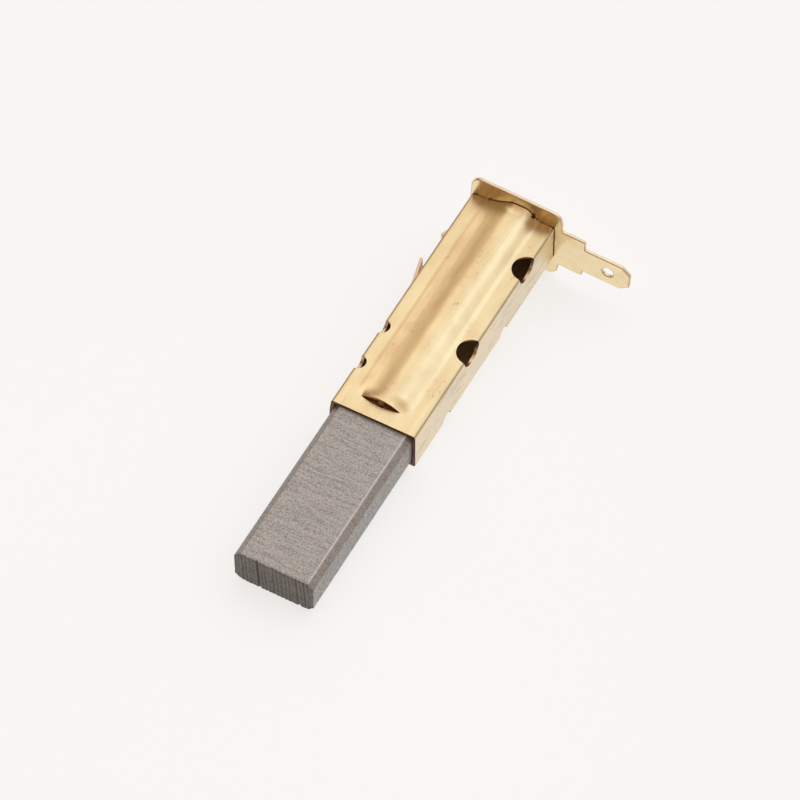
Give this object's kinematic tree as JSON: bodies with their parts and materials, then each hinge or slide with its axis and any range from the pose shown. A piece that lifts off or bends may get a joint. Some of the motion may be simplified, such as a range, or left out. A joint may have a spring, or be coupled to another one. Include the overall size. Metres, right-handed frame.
{
  "type": "carbon brush",
  "caption": "Motor carbon brush: a chamfered carbon block sliding in a folded brass tube with a raised shunt channel, a spring inside, and an end plate with a push-on blade.",
  "frame": {"origin": "where the holder's axis meets the front face of the end plate, the face that seats on a motor's brush housing", "axes": "+Y runs along the holder from its mouth to the end plate, +Z is the side with the raised channel, +X is the side where the blade stands out"},
  "size_m": [0.0262, 0.0667, 0.0138],
  "materials": {
    "brass_sheet": "bright rolled sheet with fine drawing lines and small handling marks",
    "brass_plate": "bright stamped sheet",
    "carbon": "matt pressed graphite with fine cross striations and pits",
    "copper_powder": "dull pressed copper powder",
    "copper_braid": "fine stranded bare copper",
    "spring_wire": "drawn wire"
  },
  "bodies": {
    "holder": {"holder_tube": "brass_sheet", "terminal_plate": "brass_plate", "shunt_wire": "copper_braid", "brush_spring": "spring_wire"},
    "carbon": {"carbon_block": "carbon", "shunt_tamping": "copper_powder"}
  },
  "joints": [
    {"name": "carbon_slide", "type": "slide", "parent": "holder", "child": "carbon", "axis": [0, 1, 0], "range_m": [0, 0.0255], "stiffness_N_per_m": 150, "springref_m": -0.015, "deforming": ["brush_spring", "shunt_wire"]}
  ]
}
